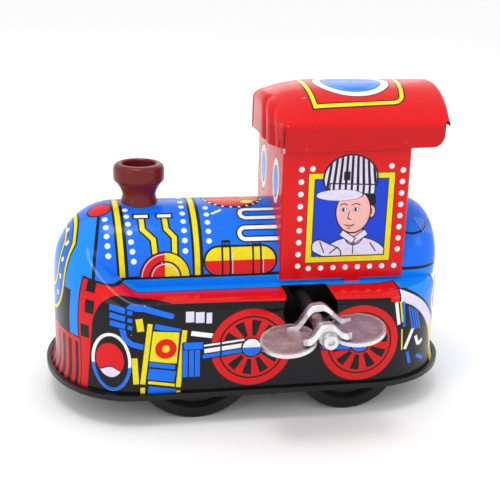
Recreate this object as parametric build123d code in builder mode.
from build123d import *
from math import acos, atan2, cos, degrees, hypot, pi, radians, sin, sqrt, tan
import os

os.makedirs("parts", exist_ok=True)

# A tin wind-up locomotive: a pressed boiler shell on a crimped base, a box cab with an arched
# roof, a plastic chimney, and a spring motor that drives the rear wheels.
# Millimetres. +X is forwards, +Y is the left side, where the key is, +Z is up.
# The origin is on the ground, under the middle of the base, in the plane of symmetry.

# ---- sheet metal and fits ----
sheet = 0.35            # thickness of the printed tin
plate = 0.8             # thickness of the motor's side plates
run_gap = 0.05          # radial clearance of a shaft in its bearing hole
slot_gap = 0.15         # clearance round a tab in its slot
seam_gap = 0.05         # clearance between two pressings that lie side by side

# ---- base, seen from above: half an ellipse in front, wide round corners behind ----
base_length = 95.0
base_width = 49.0
nose_run = 20.0         # length of the front half ellipse
tail_run = 21.5         # length of the round rear corners
tail_flat = 3.0         # half the straight stretch between the rear corners
rim_bottom = 6.85
rim_height = 1.25
rim_roll = 0.85         # width of the rolled rim
deck_lift = 0.2         # underside of the base sheet above the rim's lower edge

# ---- lower body ----
nose_setback = 2.2      # body wall behind the rim, at the nose
tail_setback = 2.0
side_setback = 0.95
flare_height = 4.5      # the body spreads out over this height to meet the rim
shoulder_round = 2.2
wheel_top_gap = 0.35    # the flat shoulders clear the largest wheel by this

# ---- boiler ----
boiler_radius = 13.85
boiler_lift = 2.4       # the boiler's axis above the shoulders
nose_ledge = 0.8        # the front dome's tip behind the body's nose
tail_ledge = 0.9
dome_run = 13.5
dome_flat = 2.0         # radius of the small flat disc at the tip of the front dome
back_dome_run = 8.6
back_dome_flat = 6.9    # radius of the flat disc in the rear dome

# ---- cab ----
cab_length = 29.4
cab_setback = 1.5       # the cab's rear wall in front of the rear dome
cab_boiler_gap = 0.2    # between the boiler and each side wall
cab_floor_gap = 0.8     # the cab's lower edge stands this far above the shoulder
cab_tab_place = 17.1    # from the cab's front wall back to its tabs
cab_tab_width = 3.6
cab_tab_drop = 1.6      # length of the tab below the shoulder sheet

# ---- roof ----
roof_overhang = 1.6     # beyond the cab's side walls
cab_rise = 36.7         # from the shoulders to the crease between roof top and skirt
roof_rise = 7.2
skirt_drop = 6.2
front_eave = 3.3        # how far the roof stands out in front of the cab
back_eave = 8.5
skirt_front_eave = 0.5
skirt_back_eave = 6.7
skirt_corner = 2.4
front_flap_drop = 5.4   # depth of the bent front end, below the crease
back_flap_lift = 0.6    # the bent rear end stops this far above the crease
flap_inset = 1.0        # the front end is this much narrower than the skirts, each side
flap_lap = 2.1          # how far the arched top runs down behind the skirts
flap_round = 2.2

# ---- chimney ----
chimney_setback = 5.65  # from the start of the front dome back to the chimney's axis
chimney_height = 8.95   # above the boiler's top line
lip_radius = 5.8
lip_height = 3.9
chimney_bore_radius = 3.8
chimney_bore_depth = 6.0
neck_radius = 3.8
neck_height = 1.35
foot_height = 0.3       # the chimney's foot tapers from this far below the boiler's top
lip_under = 0.4         # bevels of the lip, below and above
lip_over = 0.8
lip_flare = 0.3
foot_radius = 4.1
stub_radius = 1.5
stub_drop = 2.4
washer_radius = 3.2
washer_thickness = 0.5

# ---- wheels ----
front_wheel_place = 13.1    # from the middle of the base's front half ellipse back to the axle
front_wheel_radius = 14.3
rear_wheel_place = 5.2      # from the start of the base's rear corners forward to the axle
rear_wheel_radius = 12.3
wheel_side_gap = 2.2    # between a wheel's outer face and the body's wall
wheel_width = 3.4
wheel_dish = 1.1        # depth of the dished face
wheel_rim = 2.6
wheel_hub_radius = 3.2
wheel_bevel = 0.5
axle_stub = 0.4         # an axle's end beyond the wheel's outer face
axle_radius = 1.0
wheel_slot_side = 0.8   # clearance of a wheel in its slot, sideways
wheel_slot_end = 1.2

# ---- motor ----
motor_gap = 15.2        # between the two side plates
arbor_ahead = 10.3      # the winding shaft in front of the rear axle
arbor_above = 13.7
arbor_radius = 1.5
lay_radius = 0.9        # radius of the layshaft
gear_module = 0.5
great_teeth = 40
lay_pinion_teeth = 10
lay_wheel_teeth = 30
axle_pinion_teeth = 10
pressure_angle = 25
tooth_play = 0.09       # thinning of each tooth at the pitch circle
tooth_depth = 1.15      # of a tooth below and above the pitch circle, in modules
tooth_height = 0.8
gear_thickness = 0.8
great_y = 2.4           # outer face of the great wheel
lay_wheel_y = 5.9
pinion_length = 2.4
ratchet_teeth = 12
ratchet_radius = 4.2
ratchet_depth = 0.9
ratchet_y = 1.2
click_width = 1.1
click_tooth = 3         # the ratchet tooth that the click meets
click_lead = 8.6        # the click's tip stops this many degrees before that tooth's face
click_reach_turn = 48   # and its pivot lies this many degrees before it
click_pivot_radius = 7.2
click_rivet_radius = 0.7
rivet_head = 1.6        # radius of the rivet's head, in rivet radii
tab_drop = 0.9          # the motor's foot tabs reach this far below the base sheet
tab_places = ((-7.2, 4.0), (13.8, 4.0))     # from the rear axle, and the width of each tab
plate_corners = ((-12.2, 0), (22.0, 0), (26.0, 3.0), (26.0, 7.6), (16.8, 12.2), (-5.8, 12.2), (-12.6, -2.0))
pillar_places = ((23.8, 5.5), (20.2, -13.8), (-10.4, -14.4), (-3.7, 10.0))
bracket_width = 7.0     # front axle bracket
bracket_ear_y = 13.5
pillar_radius = 1.3
tenon_radius = 0.8
spring_strip = 0.35     # thickness of the mainspring strip
spring_width = 5.8
spring_turns = 7
spring_outer = 9.4
spring_y = -0.9         # outer edge of the mainspring

# ---- key ----
key_opening_radius = 6.2
key_tilt = 6.8          # the wings slope up towards the rear
key_reach = 13.5        # tip of a wing from the shaft's axis
key_wing_width = 10.2
key_gap = 3.8           # from the base's rim to the wings' inner edge
key_wing_length = 11.8
key_sheet = 1.0
key_waist = 0.62        # depth of the strip between the wings, as a share of the hub's length
key_hub_radius = 2.3
key_end_past = 1.3      # the shaft's end beyond the wings
key_boss_radius = 1.6
key_boss_length = 3.2

# ---- what follows from those ----
rim_front = base_length / 2
rim_back = -base_length / 2
rim_side = base_width / 2
key_wing_low = rim_side + key_gap
key_wing_high = key_wing_low + key_wing_length
key_end = key_wing_high + key_end_past
nose_centre = rim_front - nose_run
tail_centre = rim_back + tail_run
deck_bottom = rim_bottom + deck_lift
deck_top = deck_bottom + sheet
flare_top = deck_top + flare_height
wall_front = rim_front - nose_setback
wall_back = rim_back + tail_setback
wall_side = rim_side - side_setback
wheel_face = wall_side - sheet - wheel_side_gap
shoulder_z = 2 * max(front_wheel_radius, rear_wheel_radius) + wheel_top_gap + sheet
boiler_z = shoulder_z + boiler_lift
boiler_top = boiler_z + boiler_radius
dome_start = wall_front - nose_ledge - dome_run
back_dome_start = wall_back + tail_ledge + back_dome_run
cab_back = back_dome_start + cab_setback
cab_front = cab_back + cab_length
cab_tab_x = cab_front - cab_tab_place
cab_side = boiler_radius + cab_boiler_gap + sheet
cab_width = 2 * cab_side
roof_side = cab_side + roof_overhang
roof_front = cab_front + front_eave
roof_back = cab_back - back_eave
skirt_front = cab_front + skirt_front_eave
skirt_back = cab_back - skirt_back_eave
roof_crease_z = shoulder_z + cab_rise
roof_crown_z = roof_crease_z + roof_rise
roof_skirt_z = roof_crease_z - skirt_drop
front_flap_z = roof_crease_z - front_flap_drop
back_flap_z = roof_crease_z + back_flap_lift
chimney_x = dome_start - chimney_setback
chimney_top_z = boiler_top + chimney_height
lip_z = chimney_top_z - lip_height
neck_z = boiler_top + neck_height
plate_y = motor_gap / 2 + plate
wheel_inner = wheel_face - wheel_width
axle_end = wheel_face + axle_stub
front_wheel_x = nose_centre - front_wheel_place
rear_wheel_x = tail_centre + rear_wheel_place
arbor_x = rear_wheel_x + arbor_ahead
arbor_z = rear_wheel_radius + arbor_above
motor_tabs = [(rear_wheel_x + place, width) for place, width in tab_places]
pillars = [(rear_wheel_x + ahead, arbor_z + above) for ahead, above in pillar_places]
ratchet_root = ratchet_radius - ratchet_depth
lay_reach = gear_module * (great_teeth + lay_pinion_teeth) / 2
axle_reach = gear_module * (lay_wheel_teeth + axle_pinion_teeth) / 2


def side_on(y):
    """A plane across the body at y: its x is forwards, its y is up, and it faces the right side."""
    return Plane.XZ.offset(-y)


def plan_face(front, back, side):
    """The base's outline seen from above, from its nose to its tail and half its width."""
    with BuildSketch() as face:
        with BuildLine():
            corner = side - tail_flat
            EllipticalCenterArc((nose_centre, 0), front - nose_centre, side, start_angle=-90, arc_size=180)
            Line((nose_centre, side), (tail_centre, side))
            EllipticalCenterArc((tail_centre, tail_flat), tail_centre - back, corner, start_angle=90, arc_size=90)
            Line((back, tail_flat), (back, -tail_flat))
            EllipticalCenterArc((tail_centre, -tail_flat), tail_centre - back, corner, start_angle=180, arc_size=90)
            Line((tail_centre, -side), (nose_centre, -side))
        make_face()
    return face.sketch


def body_form(skin):
    """The pressed body as one closed shape, drawn in by skin all round."""
    side_at_rim = rim_side - rim_roll - seam_gap - skin
    with BuildPart() as form:
        with BuildSketch(Plane.XY.offset(deck_top)):
            add(plan_face(rim_front - rim_roll - seam_gap - skin, rim_back + rim_roll + seam_gap + skin, side_at_rim))
        with BuildSketch(Plane.XY.offset(flare_top)):
            add(plan_face(wall_front - skin, wall_back + skin, wall_side - skin))
        loft()
        with BuildSketch(Plane.XY.offset(flare_top)):
            add(plan_face(wall_front - skin, wall_back + skin, wall_side - skin))
        extrude(amount=shoulder_z - skin - flare_top)
        fillet(form.faces().sort_by(Axis.Z)[-1].edges(), radius=shoulder_round - skin)
        radius = boiler_radius - skin
        with BuildSketch(Plane((0, 0, boiler_z), x_dir=(1, 0, 0), z_dir=(0, -1, 0))):
            with BuildLine():
                back = back_dome_start - back_dome_run + skin
                front = dome_start + dome_run - skin
                Line((back, 0), (back, back_dome_flat))
                back_rise = radius - back_dome_flat
                front_rise = radius - dome_flat
                EllipticalCenterArc(
                    (back_dome_start, back_dome_flat), back_dome_start - back, back_rise, start_angle=90, arc_size=90
                )
                Line((back_dome_start, radius), (dome_start, radius))
                EllipticalCenterArc(
                    (dome_start, dome_flat), front - dome_start, front_rise, start_angle=0, arc_size=90
                )
                Line((front, dome_flat), (front, 0))
                Line((front, 0), (back, 0))
            make_face()
        revolve(axis=Axis((0, 0, boiler_z), (1, 0, 0)))
    return form.part


def gear_face(teeth, phase):
    """A gear's outline about the origin, with the middle of one tooth at the angle phase."""
    pitch = gear_module * teeth / 2
    base = pitch * cos(radians(pressure_angle))
    root = pitch - tooth_depth * gear_module
    tip = pitch + tooth_height * gear_module
    half_tooth = pi / 2 / teeth - tooth_play / 2 / pitch

    def half_angle(radius):
        rolled = acos(min(1.0, base / radius))
        at_pitch = acos(base / pitch)
        return half_tooth + (tan(at_pitch) - at_pitch) - (tan(rolled) - rolled)

    foot = max(base, root)
    flank = [(root, half_angle(foot)), (foot, half_angle(foot)), (pitch, half_angle(pitch)), (tip, half_angle(tip))]
    if foot == root:
        flank = flank[1:]
    points = []
    for tooth in range(teeth):
        middle = radians(phase) + 2 * pi * tooth / teeth
        for radius, half in flank:
            points.append((radius * cos(middle - half), radius * sin(middle - half)))
        for radius, half in reversed(flank):
            points.append((radius * cos(middle + half), radius * sin(middle + half)))
    with BuildSketch() as face:
        with BuildLine():
            Polyline(*points, close=True)
        make_face()
    return face.sketch


def meeting_point(ax, az, reach_a, bx, bz, reach_b):
    """The point reach_a from a and reach_b from b that lies behind and above the line a to b."""
    span = hypot(bx - ax, bz - az)
    along = (reach_a**2 - reach_b**2 + span**2) / (2 * span)
    aside = sqrt(reach_a**2 - along**2)
    ux, uz = (bx - ax) / span, (bz - az) / span
    return ax + along * ux + aside * uz, az + along * uz - aside * ux


lay_x, lay_z = meeting_point(arbor_x, arbor_z, lay_reach, rear_wheel_x, rear_wheel_radius, axle_reach)
great_to_lay = degrees(atan2(lay_z - arbor_z, lay_x - arbor_x))
lay_to_axle = degrees(atan2(rear_wheel_radius - lay_z, rear_wheel_x - lay_x))
print("layshaft at", round(lay_x, 3), round(lay_z, 3))

# ---------------------------------------------------------------- the printed shells
body_outside = body_form(0)
body_inside = body_form(sheet)

with BuildPart() as body_shell:
    add(body_outside)
    add(body_inside, mode=Mode.SUBTRACT)
    with BuildSketch(side_on(rim_side)):
        with Locations((arbor_x, arbor_z)):
            Circle(key_opening_radius)
    extrude(amount=rim_side - boiler_radius - 1, mode=Mode.SUBTRACT)
    with BuildSketch(Plane.XY.offset(boiler_z)):
        with Locations((chimney_x, 0)):
            Circle(stub_radius + slot_gap)
    extrude(amount=boiler_radius + 1, mode=Mode.SUBTRACT)
    with BuildSketch(Plane.XY.offset(shoulder_z - 2 * sheet)):
        for side in (1, -1):
            with Locations((cab_tab_x, side * (cab_side - sheet / 2))):
                Rectangle(cab_tab_width + 2 * slot_gap, sheet + 2 * slot_gap)
    extrude(amount=4 * sheet, mode=Mode.SUBTRACT)
body_shell.part.label = "body_shell"
export_step(body_shell.part, "parts/body_shell.step")

# The cab is a tube of four panels. Its end panels are cut to the boiler, and its walls reach up
# to the inside of the arched roof.
roof_radius = (roof_side**2 + roof_rise**2) / (2 * roof_rise)
cab_bottom = shoulder_z + cab_floor_gap
cab_top = roof_crown_z - roof_radius + sqrt((roof_radius - sheet) ** 2 - cab_side**2)

with BuildPart() as cab_shell:
    with BuildSketch(Plane.XY.offset(cab_bottom)):
        with Locations(((cab_front + cab_back) / 2, 0)):
            Rectangle(cab_length, cab_width)
            Rectangle(cab_length - 2 * sheet, cab_width - 2 * sheet, mode=Mode.SUBTRACT)
    extrude(amount=cab_top - cab_bottom)
    with BuildSketch(Plane.YZ.offset(cab_back - 1)):
        with Locations((0, boiler_z)):
            Circle(boiler_radius + seam_gap)
        with Locations((0, (cab_bottom + boiler_z) / 2)):
            Rectangle(2 * (boiler_radius + seam_gap), boiler_z - cab_bottom)
    extrude(amount=cab_length + 2, mode=Mode.SUBTRACT)
    with BuildSketch(Plane.XY.offset(cab_bottom)):
        for side in (1, -1):
            with Locations((cab_tab_x, side * (cab_side - sheet / 2))):
                Rectangle(cab_tab_width, sheet)
    extrude(amount=-(cab_floor_gap + cab_tab_drop))
cab_shell.part.label = "cab_shell"
export_step(cab_shell.part, "parts/cab_shell.step")


def roof_form(skin):
    """The roof as a closed shape, drawn in by skin: an arched top on a pair of side skirts."""
    side = roof_side - skin
    with BuildPart() as form:
        with BuildSketch(Plane.YZ.offset(roof_back + skin)):
            with BuildLine():
                ThreePointArc((side, roof_crease_z), (0, roof_crown_z - skin), (-side, roof_crease_z))
                Line((-side, roof_crease_z), (-side, back_flap_z - flap_lap))
                Line((-side, back_flap_z - flap_lap), (side, back_flap_z - flap_lap))
                Line((side, back_flap_z - flap_lap), (side, roof_crease_z))
            make_face()
        extrude(amount=roof_front - roof_back - 2 * skin)
        ends = form.edges().filter_by(GeomType.CIRCLE)
        fillet(ends, radius=flap_round - skin)
        with BuildSketch(side_on(side)):
            with BuildLine():
                corner = (skirt_back + skin + skirt_corner, roof_skirt_z + skirt_corner)
                CenterArc(corner, skirt_corner, 180, 90)
                Polyline(
                    (skirt_back + skin + skirt_corner, roof_skirt_z),
                    (skirt_front - skin, roof_skirt_z),
                    (skirt_front - skin, back_flap_z),
                    (skirt_back + skin, back_flap_z),
                    (skirt_back + skin, roof_skirt_z + skirt_corner),
                )
            make_face()
        extrude(amount=2 * side)
        flap_depth = roof_front - skirt_front
        with BuildSketch(Plane.XY.offset(front_flap_z)):
            with Locations((roof_front - skin - flap_depth, 0)):
                Rectangle(2 * flap_depth, 2 * side - 2 * flap_inset)
        extrude(amount=roof_crease_z - front_flap_z)
    return form.part


roof_outside = roof_form(0)
roof_inside = roof_form(sheet)

with BuildPart() as cab_roof:
    add(roof_outside)
    add(roof_inside, mode=Mode.SUBTRACT)
cab_roof.part.label = "cab_roof"
export_step(cab_roof.part, "parts/cab_roof.step")

# ---------------------------------------------------------------- base
# The base sheet closes the body from below. Its edge is rolled up round the foot of the body.
with BuildPart() as base_tray:
    with BuildSketch(Plane.XY.offset(deck_bottom)):
        add(plan_face(rim_front, rim_back, rim_side))
        for side in (1, -1):
            for x, radius in ((front_wheel_x, front_wheel_radius), (rear_wheel_x, rear_wheel_radius)):
                half_chord = sqrt(radius**2 - (radius - deck_bottom) ** 2)
                with Locations((x, side * (wheel_inner + wheel_face) / 2)):
                    Rectangle(
                        2 * (half_chord + wheel_slot_end), wheel_width + 2 * wheel_slot_side, mode=Mode.SUBTRACT
                    )
            for x, width in motor_tabs:
                with Locations((x, side * (plate_y - plate / 2))):
                    Rectangle(width + 2 * slot_gap, plate + 2 * slot_gap, mode=Mode.SUBTRACT)
    extrude(amount=sheet)
    with BuildSketch(Plane.XY.offset(rim_bottom)):
        add(plan_face(rim_front, rim_back, rim_side))
        add(plan_face(rim_front - rim_roll, rim_back + rim_roll, rim_side - rim_roll), mode=Mode.SUBTRACT)
    extrude(amount=rim_height)
base_tray.part.label = "base_tray"
export_step(base_tray.part, "parts/base_tray.step")

# ---------------------------------------------------------------- chimney
with BuildPart() as chimney:
    with BuildSketch(Plane.XZ):
        with BuildLine():
            Polyline(
                (chimney_x, boiler_z + boiler_radius / 2),
                (chimney_x + foot_radius, boiler_z + boiler_radius / 2),
                (chimney_x + foot_radius, boiler_top - foot_height),
                (chimney_x + neck_radius, neck_z),
                (chimney_x + lip_radius - lip_flare, lip_z),
                (chimney_x + lip_radius, lip_z + lip_under),
                (chimney_x + lip_radius, chimney_top_z - lip_over),
                (chimney_x + lip_radius - lip_over, chimney_top_z),
                (chimney_x, chimney_top_z),
                close=True,
            )
        make_face()
    revolve(axis=Axis((chimney_x, 0, 0), (0, 0, 1)))
    with BuildSketch(Plane.YZ.offset(chimney_x - 2 * lip_radius)):
        with Locations((0, boiler_z)):
            Circle(boiler_radius)
    extrude(amount=4 * lip_radius, mode=Mode.SUBTRACT)
    with BuildSketch(Plane.XY.offset(chimney_top_z)):
        with Locations((chimney_x, 0)):
            Circle(chimney_bore_radius)
    extrude(amount=-chimney_bore_depth, mode=Mode.SUBTRACT)
    with BuildSketch(Plane.XY.offset(boiler_top - sheet - stub_drop)):
        with Locations((chimney_x, 0)):
            Circle(stub_radius)
    extrude(amount=stub_drop + sheet + 1)
chimney.part.label = "chimney"
export_step(chimney.part, "parts/chimney.step")

with BuildPart() as chimney_washer:
    with BuildSketch(Plane.XY.offset(boiler_top - sheet - washer_thickness)):
        with Locations((chimney_x, 0)):
            Circle(washer_radius)
            Circle(stub_radius, mode=Mode.SUBTRACT)
    extrude(amount=washer_thickness)
    with BuildSketch(Plane.YZ.offset(chimney_x - 2 * washer_radius)):
        with Locations((0, boiler_z)):
            Circle(boiler_radius - sheet)
            Circle(boiler_radius - sheet - 2 * washer_thickness, mode=Mode.SUBTRACT)
    extrude(amount=4 * washer_radius, mode=Mode.INTERSECT)
chimney_washer.part.label = "chimney_washer"
export_step(chimney_washer.part, "parts/chimney_washer.step")

# ---------------------------------------------------------------- motor frame
# Two side plates, four pillars between them, and tabs that are bent over under the base.
# The two lowest corners of a plate stand on the base sheet.
frame_outline = [(rear_wheel_x + ahead, arbor_z + above) for ahead, above in plate_corners[2:]]
frame_outline += [(rear_wheel_x + ahead, deck_top) for ahead, _ in plate_corners[:2]]

for name, outer in (("motor_plate_left", plate_y), ("motor_plate_right", -plate_y + plate)):
    with BuildPart() as motor_plate:
        with BuildSketch(side_on(outer)):
            with BuildLine():
                Polyline(*frame_outline, close=True)
            make_face()
            with Locations((arbor_x, arbor_z)):
                Circle(arbor_radius + run_gap, mode=Mode.SUBTRACT)
            with Locations((lay_x, lay_z)):
                Circle(lay_radius + run_gap, mode=Mode.SUBTRACT)
            with Locations((rear_wheel_x, rear_wheel_radius)):
                Circle(axle_radius + run_gap, mode=Mode.SUBTRACT)
            with Locations(*pillars):
                Circle(tenon_radius, mode=Mode.SUBTRACT)
            for x, width in motor_tabs:
                with Locations((x, deck_bottom - tab_drop / 2 + sheet / 2)):
                    Rectangle(width, tab_drop + sheet)
        extrude(amount=plate)
    motor_plate.part.label = name
    export_step(motor_plate.part, f"parts/{name}.step")

with BuildPart() as motor_pillars:
    with BuildSketch(side_on(motor_gap / 2)):
        with Locations(*pillars):
            Circle(pillar_radius)
    extrude(amount=motor_gap)
    with BuildSketch(side_on(plate_y)):
        with Locations(*pillars):
            Circle(tenon_radius)
    extrude(amount=2 * plate_y)
motor_pillars.part.label = "motor_pillars"
export_step(motor_pillars.part, "parts/motor_pillars.step")

with BuildPart() as front_axle_bracket:
    with BuildSketch(Plane.XY.offset(deck_top)):
        with Locations((front_wheel_x, 0)):
            Rectangle(bracket_width, 2 * bracket_ear_y)
    extrude(amount=plate)
    for outer in (bracket_ear_y, -bracket_ear_y + plate):
        with BuildSketch(side_on(outer)):
            with Locations((front_wheel_x, (deck_top + front_wheel_radius) / 2)):
                Rectangle(bracket_width, front_wheel_radius - deck_top)
            with Locations((front_wheel_x, front_wheel_radius)):
                Circle(bracket_width / 2)
                Circle(axle_radius + run_gap, mode=Mode.SUBTRACT)
        extrude(amount=plate)
front_axle_bracket.part.label = "front_axle_bracket"
export_step(front_axle_bracket.part, "parts/front_axle_bracket.step")

with BuildPart() as mainspring:
    pitch = (spring_outer - arbor_radius - 2 * spring_strip) / spring_turns
    with BuildSketch(side_on(spring_y)):
        for half_turn in range(2 * spring_turns):
            middle = arbor_x + (pitch / 4 if half_turn % 2 else -pitch / 4)
            reach = spring_outer - pitch * (2 * half_turn + 1) / 4
            start = 180 * (half_turn % 2)
            with BuildLine():
                CenterArc((middle, arbor_z), reach, start, 180)
                CenterArc((middle, arbor_z), reach - spring_strip, start, 180)
                Line((middle - reach, arbor_z), (middle - reach + spring_strip, arbor_z))
                Line((middle + reach - spring_strip, arbor_z), (middle + reach, arbor_z))
            make_face()
    extrude(amount=spring_width)
mainspring.part.label = "mainspring"
export_step(mainspring.part, "parts/mainspring.step")

# ---------------------------------------------------------------- winding shaft and key
with BuildPart() as winding_arbor:
    with BuildSketch(side_on(key_end - key_boss_length)):
        with Locations((arbor_x, arbor_z)):
            Circle(arbor_radius)
    extrude(amount=key_end - key_boss_length + plate_y)
    with BuildSketch(side_on(key_end)):
        with Locations((arbor_x, arbor_z)):
            Circle(key_boss_radius)
    extrude(amount=key_boss_length)
    chamfer(winding_arbor.faces().sort_by(Axis.Y)[-1].edges(), length=key_boss_radius / 5)
winding_arbor.part.label = "winding_arbor"
export_step(winding_arbor.part, "parts/winding_arbor.step")

ratchet_points = []
for tooth in range(ratchet_teeth):
    angle = 2 * pi * tooth / ratchet_teeth
    for radius in (ratchet_root, ratchet_radius):
        ratchet_points.append((arbor_x + radius * cos(angle), arbor_z + radius * sin(angle)))

with BuildPart() as ratchet_wheel:
    with BuildSketch(side_on(ratchet_y)):
        with BuildLine():
            Polyline(*ratchet_points, close=True)
        make_face()
        with Locations((arbor_x, arbor_z)):
            Circle(arbor_radius, mode=Mode.SUBTRACT)
    extrude(amount=plate)
ratchet_wheel.part.label = "ratchet_wheel"
export_step(ratchet_wheel.part, "parts/ratchet_wheel.step")

slope = radians(key_tilt)
key_plane = Plane((arbor_x, 0, arbor_z), x_dir=(cos(slope), 0, -sin(slope)), z_dir=(sin(slope), 0, cos(slope)))
wing_middle = (key_wing_low + key_wing_high) / 2
hub_end = key_end - key_boss_length

with BuildPart() as key_wings:
    with BuildSketch(key_plane):
        for side in (1, -1):
            with Locations((side * (key_reach - key_wing_width / 2), wing_middle)):
                Ellipse(key_wing_width / 2, (key_wing_high - key_wing_low) / 2)
        with Locations((0, (key_wing_low + hub_end) / 2)):
            Rectangle(2 * (key_reach - key_wing_width / 2), key_waist * (hub_end - key_wing_low))
    extrude(amount=key_sheet / 2, both=True)
    with BuildSketch(side_on(hub_end)):
        with Locations((arbor_x, arbor_z)):
            Circle(key_hub_radius)
    extrude(amount=hub_end - key_wing_low)
    with BuildSketch(side_on(hub_end)):
        with Locations((arbor_x, arbor_z)):
            Circle(arbor_radius)
    extrude(amount=hub_end, mode=Mode.SUBTRACT)
key_wings.part.label = "key_wings"
export_step(key_wings.part, "parts/key_wings.step")

# ---------------------------------------------------------------- gear train
# The click is a pawl on the great wheel. Its tip stands against one ratchet tooth.
click_turn = 360 / ratchet_teeth * click_tooth
tip_turn = radians(click_turn - click_lead)
pivot_turn = radians(click_turn - click_reach_turn)
pivot_x = arbor_x + click_pivot_radius * cos(pivot_turn)
pivot_z = arbor_z + click_pivot_radius * sin(pivot_turn)
tip_x = arbor_x + (ratchet_radius + seam_gap * 3) * cos(tip_turn)
tip_z = arbor_z + (ratchet_radius + seam_gap * 3) * sin(tip_turn)

with BuildPart() as great_wheel:
    with BuildSketch(side_on(great_y)):
        with Locations((arbor_x, arbor_z)):
            add(gear_face(great_teeth, great_to_lay))
            Circle(arbor_radius + run_gap, mode=Mode.SUBTRACT)
        with Locations((pivot_x, pivot_z)):
            Circle(click_rivet_radius, mode=Mode.SUBTRACT)
    extrude(amount=gear_thickness)
great_wheel.part.label = "great_wheel"
export_step(great_wheel.part, "parts/great_wheel.step")

with BuildPart() as click:
    with BuildSketch(side_on(ratchet_y)):
        with Locations((pivot_x, pivot_z)):
            Circle(2 * click_rivet_radius)
        with BuildLine():
            Line((tip_x, tip_z), (pivot_x, pivot_z))
        trace(line_width=click_width)
        with Locations((pivot_x, pivot_z)):
            Circle(click_rivet_radius + run_gap, mode=Mode.SUBTRACT)
        with Locations((arbor_x, arbor_z)):
            Circle(ratchet_radius - ratchet_depth / 2, mode=Mode.SUBTRACT)
    extrude(amount=plate)
click.part.label = "click"
export_step(click.part, "parts/click.step")

with BuildPart() as click_rivet:
    with BuildSketch(side_on(great_y)):
        with Locations((pivot_x, pivot_z)):
            Circle(click_rivet_radius)
    extrude(amount=great_y - ratchet_y + plate + run_gap)
    with BuildSketch(side_on(ratchet_y - plate - run_gap)):
        with Locations((pivot_x, pivot_z)):
            Circle(rivet_head * click_rivet_radius)
    extrude(amount=plate / 2)
click_rivet.part.label = "click_rivet"
export_step(click_rivet.part, "parts/click_rivet.step")

lay_phase = great_to_lay + 180 + 180 / lay_pinion_teeth
lay_wheel_phase = lay_to_axle
axle_phase = lay_to_axle + 180 + 180 / axle_pinion_teeth

with BuildPart() as layshaft:
    with BuildSketch(side_on(plate_y)):
        with Locations((lay_x, lay_z)):
            Circle(lay_radius)
    extrude(amount=2 * plate_y)
    with BuildSketch(side_on(great_y - gear_thickness / 2 + pinion_length / 2)):
        with Locations((lay_x, lay_z)):
            add(gear_face(lay_pinion_teeth, lay_phase))
    extrude(amount=pinion_length)
layshaft.part.label = "layshaft"
export_step(layshaft.part, "parts/layshaft.step")

with BuildPart() as layshaft_wheel:
    with BuildSketch(side_on(lay_wheel_y)):
        with Locations((lay_x, lay_z)):
            add(gear_face(lay_wheel_teeth, lay_wheel_phase))
            Circle(lay_radius, mode=Mode.SUBTRACT)
    extrude(amount=gear_thickness)
layshaft_wheel.part.label = "layshaft_wheel"
export_step(layshaft_wheel.part, "parts/layshaft_wheel.step")

with BuildPart() as axle_pinion:
    with BuildSketch(side_on(lay_wheel_y - gear_thickness / 2 + pinion_length / 2)):
        with Locations((rear_wheel_x, rear_wheel_radius)):
            add(gear_face(axle_pinion_teeth, axle_phase))
            Circle(axle_radius, mode=Mode.SUBTRACT)
    extrude(amount=pinion_length)
axle_pinion.part.label = "axle_pinion"
export_step(axle_pinion.part, "parts/axle_pinion.step")

# ---------------------------------------------------------------- axles and wheels
for name, x, radius in (("front", front_wheel_x, front_wheel_radius), ("rear", rear_wheel_x, rear_wheel_radius)):
    with BuildPart() as axle:
        with BuildSketch(side_on(axle_end)):
            with Locations((x, radius)):
                Circle(axle_radius)
        extrude(amount=2 * axle_end)
    axle.part.label = f"{name}_axle"
    export_step(axle.part, f"parts/{name}_axle.step")
    for hand, side in (("left", 1), ("right", -1)):
        face = side * wheel_face
        inner = side * wheel_inner
        with BuildPart() as wheel:
            with BuildSketch(Plane.XY.offset(radius)):
                with BuildLine():
                    edge = x + radius
                    Polyline(
                        (x + axle_radius, inner),
                        (edge - wheel_bevel, inner),
                        (edge, inner + side * wheel_bevel),
                        (edge, face - side * wheel_bevel),
                        (edge - wheel_bevel, face),
                        (edge - wheel_rim, face),
                        (edge - wheel_rim - wheel_dish, face - side * wheel_dish),
                        (x + wheel_hub_radius + wheel_dish / 2, face - side * wheel_dish),
                        (x + wheel_hub_radius, face),
                        (x + axle_radius, face),
                        close=True,
                    )
                make_face()
            revolve(axis=Axis((x, 0, radius), (0, 1, 0)))
        wheel.part.label = f"{name}_wheel_{hand}"
        export_step(wheel.part, f"parts/{name}_wheel_{hand}.step")
